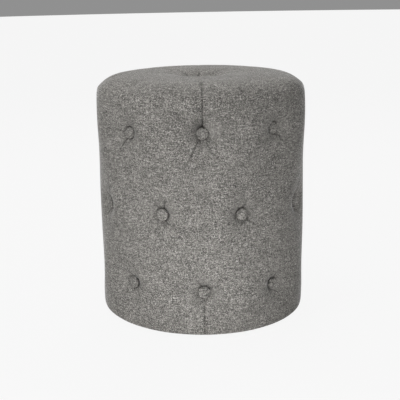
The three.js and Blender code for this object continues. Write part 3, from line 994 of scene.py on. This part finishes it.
def woven_cloth():
    """A plain weave of melange yarn, light and dark fibres spun together, with painted shade in its
    gaps and folds.
    """
    n = Nodes("woven_cloth")
    across, along, _ = n.split(n.add("UVMap", uv_map="cloth"))
    warp_place = n.divide(across, YARN_PITCH)
    weft_place = n.divide(along, YARN_PITCH)
    warp_number = n.maths("FLOOR", warp_place)
    weft_number = n.maths("FLOOR", weft_place)
    warp_over = n.maths("FLOORED_MODULO", n.plus(warp_number, weft_number), 2)
    warp_run = n.point(n.times(warp_number, SLUB_STEP), n.divide(weft_place, WARP_SLUB), 0.3)
    weft_run = n.point(n.divide(warp_place, WEFT_SLUB), n.times(weft_number, SLUB_STEP), 8.3)
    tone = n.blend(warp_over, n.noise(weft_run, 1, 1), n.noise(warp_run, 1, 1))
    warp_streak = n.point(n.times(warp_number, STREAK_STEP), n.divide(weft_place, LONG_SLUB), 5.1)
    weft_streak = n.point(n.divide(warp_place, LONG_SLUB), n.times(weft_number, STREAK_STEP), 6.1)
    tone = n.vary(tone, n.noise(weft_streak, 1, 0), WEFT_STREAK_SHARE)
    tone = n.vary(tone, n.noise(warp_streak, 1, 0), WARP_STREAK_SHARE)
    warp_fibres = n.point(n.times(warp_place, FIBRES_ACROSS), n.times(weft_place, FIBRES_ALONG), 4)
    weft_fibres = n.point(n.times(warp_place, FIBRES_ALONG), n.times(weft_place, FIBRES_ACROSS), 9)
    fibre = n.blend(warp_over, n.noise(weft_fibres, 1, 1), n.noise(warp_fibres, 1, 1))
    tone = n.blend(FIBRE_SHARE, tone, fibre)
    patch = n.noise(n.point(n.divide(across, PATCH_SIZE), n.divide(along, PATCH_SIZE), 2), 1, 1)
    tone = n.vary(tone, patch, PATCH_SHARE)
    melange = n.ramp(tone, [
        (0.33, (0.045, 0.0434, 0.0405)),
        (0.45, (0.125, 0.1205, 0.1125)),
        (0.54, (0.25, 0.241, 0.2255)),
        (0.68, (0.66, 0.636, 0.595)),
    ])
    # Painted shade at the edges of each yarn, where it rounds down into the gaps between threads
    warp_round = n.maths("SINE", n.times(n.maths("FRACT", warp_place), math.pi))
    weft_round = n.maths("SINE", n.times(n.maths("FRACT", weft_place), math.pi))
    crossing = n.times(warp_round, weft_round)
    yarn = n.blend(warp_over, weft_round, warp_round)
    # Painted shade in the folds, pleats and hollows, read from the cover's fold attribute
    fold = n.add("Attribute", output=2, attribute_name="fold")
    painted_shading = n.times(n.blend(YARN_EDGE_PAINTED_SHADE, 1, yarn), n.minus(1, n.times(fold, FOLD_PAINTED_SHADE)))
    shade = n.point(painted_shading, painted_shading, painted_shading)
    colour = n.add("VectorMath", {0: melange, 1: shade}, operation="MULTIPLY")
    lift = n.plus(n.times(crossing, 0.6), n.times(yarn, 0.4))
    lift = n.plus(lift, n.times(fibre, 0.3))
    bump = n.bump(0.5, 0.12 * MM, lift)
    return n.finish(
        Base_Color=colour,
        Roughness=0.92,
        Specular_IOR_Level=0.1,
        Sheen_Weight=0.4,
        Sheen_Roughness=0.22,
        Normal=bump,
    )


def seat_foam():
    """Cream polyurethane foam, cut with fine open cells."""
    n = Nodes("seat_foam")
    place = n.place()
    cells = n.add("TexVoronoi", {"Vector": place, "Scale": 900})
    tone = n.noise(place, 60, 3)
    colour = n.ramp(n.blend(0.35, tone, cells), [
        (0.25, (0.56, 0.46, 0.26)),
        (0.5, (0.78, 0.7, 0.45)),
        (0.75, (0.9, 0.84, 0.62)),
    ])
    bump = n.bump(0.7, 0.5 * MM, cells)
    return n.finish(Base_Color=colour, Roughness=0.9, Specular_IOR_Level=0.2, Normal=bump)


PLY_THICKNESS = 1.5 * MM


def plywood():
    """Pale veneer with its grain along X, and dark and light plies at the edges."""
    n = Nodes("plywood")
    place = n.place()
    parts = n.split(place)
    grain = n.noise(n.stretched(parts, (9, 160, 20)), 1, 5)
    face = n.ramp(grain, [
        (0.3, (0.4, 0.25, 0.12)),
        (0.5, (0.62, 0.43, 0.24)),
        (0.75, (0.74, 0.56, 0.34)),
    ])
    ply = n.maths("PINGPONG", n.divide(parts[2], PLY_THICKNESS), 1)
    ply = n.blend(0.3, ply, n.noise(place, 300, 2))
    edge = n.ramp(ply, [
        (0.35, (0.33, 0.19, 0.09)),
        (0.55, (0.6, 0.42, 0.24)),
    ])
    upright = n.maths("ABSOLUTE", n.split(n.add("NewGeometry", output=1))[2])
    is_face = n.maths("GREATER_THAN", upright, 0.5)
    colour = n.add("Mix", {0: is_face, 6: edge, 7: face}, 2, data_type="RGBA")
    bump = n.bump(0.5, 0.2 * MM, grain)
    return n.finish(Base_Color=colour, Roughness=n.blend(grain, 0.55, 0.8), Normal=bump)


def fibreboard():
    """Thin brown hardboard of pressed fibres, faintly mottled."""
    n = Nodes("fibreboard")
    place = n.place()
    fibres = n.noise(place, 700, 4, 0.7)
    mottle = n.noise(place, 25, 3)
    colour = n.ramp(n.blend(0.4, fibres, mottle), [
        (0.3, (0.11, 0.055, 0.025)),
        (0.5, (0.2, 0.11, 0.055)),
        (0.72, (0.31, 0.19, 0.1)),
    ])
    bump = n.bump(0.5, 0.15 * MM, fibres)
    return n.finish(Base_Color=colour, Roughness=n.blend(mottle, 0.6, 0.85), Normal=bump)


def pine():
    """Planed softwood with its growth lines upright."""
    n = Nodes("pine")
    parts = n.split(n.place())
    sway = n.noise(n.stretched(parts, (1, 1, 3)), 4, 2)
    years = n.times(n.plus(parts[0], parts[1]), 900)
    rings = n.maths("SINE", n.plus(years, n.times(sway, 30)))
    grain = n.noise(n.stretched(parts, (400, 400, 12)), 1, 3)
    tone = n.blend(0.5, n.times(n.plus(rings, 1), 0.5), grain)
    colour = n.ramp(tone, [
        (0.2, (0.7, 0.5, 0.27)),
        (0.55, (0.62, 0.4, 0.18)),
        (0.85, (0.43, 0.23, 0.09)),
    ])
    bump = n.bump(0.4, 0.15 * MM, grain)
    return n.finish(Base_Color=colour, Roughness=n.blend(grain, 0.55, 0.8), Normal=bump)


def zinc_steel():
    """Bright zinc on a steel screw, a little cloudy."""
    n = Nodes("zinc_steel")
    place = n.place()
    cloud = n.noise(place, 350, 3)
    colour = n.ramp(cloud, [
        (0.35, (0.48, 0.46, 0.4)),
        (0.6, (0.62, 0.62, 0.6)),
    ])
    bump = n.bump(0.3, 0.05 * MM, n.noise(place, 2500, 2))
    return n.finish(Base_Color=colour, Metallic=1, Roughness=n.blend(cloud, 0.25, 0.5), Normal=bump)


def dust_cloth():
    """Black spunbond cloth: short crossing fibres, dotted where they are bonded."""
    n = Nodes("dust_cloth")
    parts = n.split(n.place())
    one_way = n.noise(n.stretched(parts, (300, 2200, 1)), 1, 3)
    other_way = n.noise(n.stretched(parts, (2200, 300, 1)), 1, 3)
    fibres = n.maths("MAXIMUM", one_way, other_way)
    waves = [n.maths("SINE", n.times(part, 2600)) for part in (parts[0], parts[1])]
    bond = n.maths("GREATER_THAN", n.times(*waves), 0.5)
    colour = n.ramp(fibres, [
        (0.4, (0.006, 0.006, 0.007)),
        (0.6, (0.02, 0.02, 0.022)),
        (0.8, (0.045, 0.045, 0.048)),
    ])
    bump = n.bump(0.6, 0.15 * MM, n.minus(fibres, n.times(bond, 0.4)))
    roughness = n.blend(bond, 0.9, 0.6)
    return n.finish(Base_Color=colour, Roughness=roughness, Sheen_Weight=0.1, Normal=bump)


def glide_plastic():
    """Dark moulded plastic, scuffed on its face."""
    n = Nodes("glide_plastic")
    scuffs = n.noise(n.stretched(n.split(n.place()), (90, 1500, 1)), 1, 4)
    colour = n.ramp(scuffs, [
        (0.4, (0.018, 0.018, 0.021)),
        (0.7, (0.045, 0.045, 0.05)),
    ])
    bump = n.bump(0.4, 0.05 * MM, scuffs)
    return n.finish(Base_Color=colour, Roughness=n.blend(scuffs, 0.3, 0.65), Normal=bump)


WOVEN_CLOTH = woven_cloth()
SEAT_FOAM = seat_foam()
cover, settled = make_cover()
cover.data.materials.clear()
cover.data.materials.append(WOVEN_CLOTH)
shell = cover.modifiers.new("thickness", "SOLIDIFY")
shell.thickness = CLOTH_THICKNESS
shell.offset = -1
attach(cover, "root")
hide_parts("fabric_cover")
paddings = {"side_foam": make_side_padding(settled), "top_foam": make_seat_padding(settled)}
for node, padding in paddings.items():
    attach(padding, "root")
    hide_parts(node)
    padding.data.materials.append(SEAT_FOAM)

chance = random.Random(BUTTON_SEED)
for button in [*SIDE_BUTTONS, SEAT_BUTTON]:
    piece = covered_button(button, chance)
    piece.data.materials.append(WOVEN_CLOTH)


# ---- underside and frame ----

# The dust cloth: its flat middle, and its lap over the cover's turned hem
DUST_CLOTH_THICKNESS = 0.8 * MM
DUST_CENTRE_HEIGHT = 5.8 * MM
DUST_LAP_HEIGHT = 3.5 * MM
DUST_CENTRE_RADIUS = 163.5 * MM
DUST_STEP_RADIUS = 168.5 * MM
DUST_LAP_RADIUS = 184 * MM
DUST_COLUMNS = 96
DUST_RINGS = (20, 45, 70, 95, 120, 136)
DUST_LAST_RING = 157 * MM

# Its rumples: the share, turns round, waves out and phase of each
DUST_SAG = 0.2 * MM
DUST_SAG_REACH = 60 * MM
RUMPLES = [(0.6, 9, 60, 0), (0.4, 5, -110, 1)]

# The glides, with the radii and heights of disc and nail in mm, and the holes of their nails
GLIDES = 4
GLIDE_PROFILE = [(0, 0), (9, 0), (10.2, 0.2), (11.3, 0.8), (11.9, 1.8), (12, 2.6), (12, 4.4)]
GLIDE_PROFILE += [(11.7, 5), (1.5, 5), (1.5, 14), (0, 17)]
GLIDE_COLUMNS = 48
GLIDE_CIRCLE = 148.7 * MM
NAIL_HOLE = 1.8 * MM
HOLE_MARGIN = 1.1


def make_dust_cloth():
    """A thin, rumpled cloth stapled over the turned hem, with a hole for each glide's nail."""
    flat_radii = [0, *(ring * MM for ring in DUST_RINGS)]
    flat_radii += [GLIDE_CIRCLE - NAIL_HOLE, GLIDE_CIRCLE + NAIL_HOLE]
    flat_radii += [DUST_LAST_RING, DUST_CENTRE_RADIUS]
    lap_radii = [DUST_STEP_RADIUS, (DUST_STEP_RADIUS + DUST_LAP_RADIUS) / 2, DUST_LAP_RADIUS]
    profile = [(radius, DUST_CENTRE_HEIGHT) for radius in flat_radii]
    profile += [(radius, DUST_LAP_HEIGHT) for radius in lap_radii]
    bm = lathe(profile, DUST_COLUMNS)
    half_column = math.pi / DUST_COLUMNS
    turn = Matrix.Rotation(half_column, 3, "Z")
    bmesh.ops.rotate(bm, verts=bm.verts, cent=(0, 0, 0), matrix=turn)
    quarter = 2 * math.pi / GLIDES
    for vertex in bm.verts:
        radius, azimuth, height = polar(vertex.co)
        aside = angle_between(azimuth, round(azimuth / quarter) * quarter)
        on_circle = abs(radius - GLIDE_CIRCLE) < HOLE_MARGIN * NAIL_HOLE
        if on_circle and abs(aside) < HOLE_MARGIN * half_column:
            azimuth += math.copysign(NAIL_HOLE / radius - abs(aside), aside)
        rumple = sum(
            share * math.sin(turns * azimuth + waves * radius + phase)
            for share, turns, waves, phase in RUMPLES
        )
        slack = smoothstep(0, DUST_SAG_REACH, radius) if radius < DUST_CENTRE_RADIUS - MM else 0
        vertex.co = around(radius, azimuth, height + DUST_SAG * slack * rumple)
    holes = []
    for face in bm.faces:
        radius, azimuth, _ = polar(face.calc_center_median())
        aside = angle_between(azimuth, round(azimuth / quarter) * quarter)
        on_circle = abs(radius - GLIDE_CIRCLE) < NAIL_HOLE / 2
        if on_circle and abs(aside) < half_column / 2:
            holes.append(face)
    bmesh.ops.delete(bm, geom=holes, context="FACES")
    piece = piece_from(bm, "black_dust_cloth")
    shell = piece.modifiers.new("thickness", "SOLIDIFY")
    shell.thickness = DUST_CLOTH_THICKNESS
    shell.offset = 0
    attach(piece, "root")
    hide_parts("dust_cover")
    piece.data.materials.append(dust_cloth())


def make_glides():
    """Moulded discs with rounded rims, each on its own nail."""
    plastic = glide_plastic()
    profile = [(radius * MM, height * MM) for radius, height in GLIDE_PROFILE]
    for number in range(GLIDES):
        bm = lathe(profile, GLIDE_COLUMNS)
        place = around(GLIDE_CIRCLE, number * 2 * math.pi / GLIDES, 0)
        bmesh.ops.translate(bm, verts=bm.verts, vec=place)
        piece = piece_from(bm, f"nail_on_glide_{number + 1}")
        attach(piece, "root")
        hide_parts(f"glide_{number + 1}")
        piece.data.materials.append(plastic)


def dress_frame():
    """Real board, wood and zinc on the pieces of the frame that keep their own shape."""
    boards, wall, wood, zinc = plywood(), fibreboard(), pine(), zinc_steel()
    finishes = {"base_board": boards, "top_board": boards, "drum_wall": wall}
    for number in range(1, 5):
        finishes[f"post_{number}"] = wood
        finishes[f"top_screw_{number}"] = finishes[f"base_screw_{number}"] = zinc
    for name, finish in finishes.items():
        nodes[name].data.materials.clear()
        nodes[name].data.materials.append(finish)


make_dust_cloth()
make_glides()
dress_frame()


# ---- studio ----

# The floor is lit by the lamps for the tuffet, but the camera sees it almost evenly pale
FLOOR_RADIUS = 14
FLOOR_SIDES = 96
FLOOR_TONE = 0.9
GROUND_TONE = 0.935
GROUND_SHARE = 0.97
SKY_STRENGTH = 0.28

# Each lamp's place, what it points at, its width and its power
LAMPS = {
    "key": ((-1.84, -1.54, 1.4), (0, 0, 0.2), 0.7, 17),
    "fill": ((0, -2.4, 1.4), (0, 0, 0.2), 0.7, 11.6),
    "low": ((0.1, -0.6, 0.03), (0, 0, 0.03), 0.14, 0.85),
    "low_left": ((-0.3, -0.55, 0.03), (0, 0, 0.03), 0.14, 0.25),
    "overhead": ((-0.4, 0, 2.6), (0, 0, 0.4), 1.2, 24),
    "back": ((0, 1.6, 1.8), (0, 0, 0.4), 1, 17),
}


def add_floor():
    bm = bmesh.new()
    bmesh.ops.create_circle(bm, cap_ends=True, segments=FLOOR_SIDES, radius=FLOOR_RADIUS)
    floor = piece_from(bm, "floor")
    n = Nodes("pale_floor")
    output = n.tree.nodes["Material Output"]
    n.tree.nodes.remove(n.shader)
    diffuse = n.add("BsdfDiffuse", {"Color": (FLOOR_TONE, FLOOR_TONE, FLOOR_TONE, 1)})
    glow = n.add("Emission", {"Color": (GROUND_TONE, GROUND_TONE, GROUND_TONE, 1)})
    share = n.times(n.add("LightPath"), GROUND_SHARE)
    n.join(n.add("MixShader", {0: share, 1: diffuse, 2: glow}), output.inputs["Surface"])
    floor.data.materials.append(n.material)


def add_lamp(name, place, target, size, power):
    lamp = bpy.data.lights.new(name, "AREA")
    lamp.shape = "DISK"
    lamp.size = size
    lamp.energy = power
    holder = bpy.data.objects.new(name, lamp)
    holder.location = place
    holder.rotation_euler = (Vector(target) - Vector(place)).to_track_quat("-Z", "Y").to_euler()
    bpy.context.scene.collection.objects.link(holder)


def add_light():
    world = bpy.data.worlds.new("studio")
    world.use_nodes = True
    background = world.node_tree.nodes["Background"]
    background.inputs["Color"].default_value = (1, 1, 1, 1)
    background.inputs["Strength"].default_value = SKY_STRENGTH
    bpy.context.scene.world = world
    for name, settings in LAMPS.items():
        add_lamp(name, *settings)


add_floor()
add_light()
bpy.context.scene.view_settings.view_transform = "Standard"
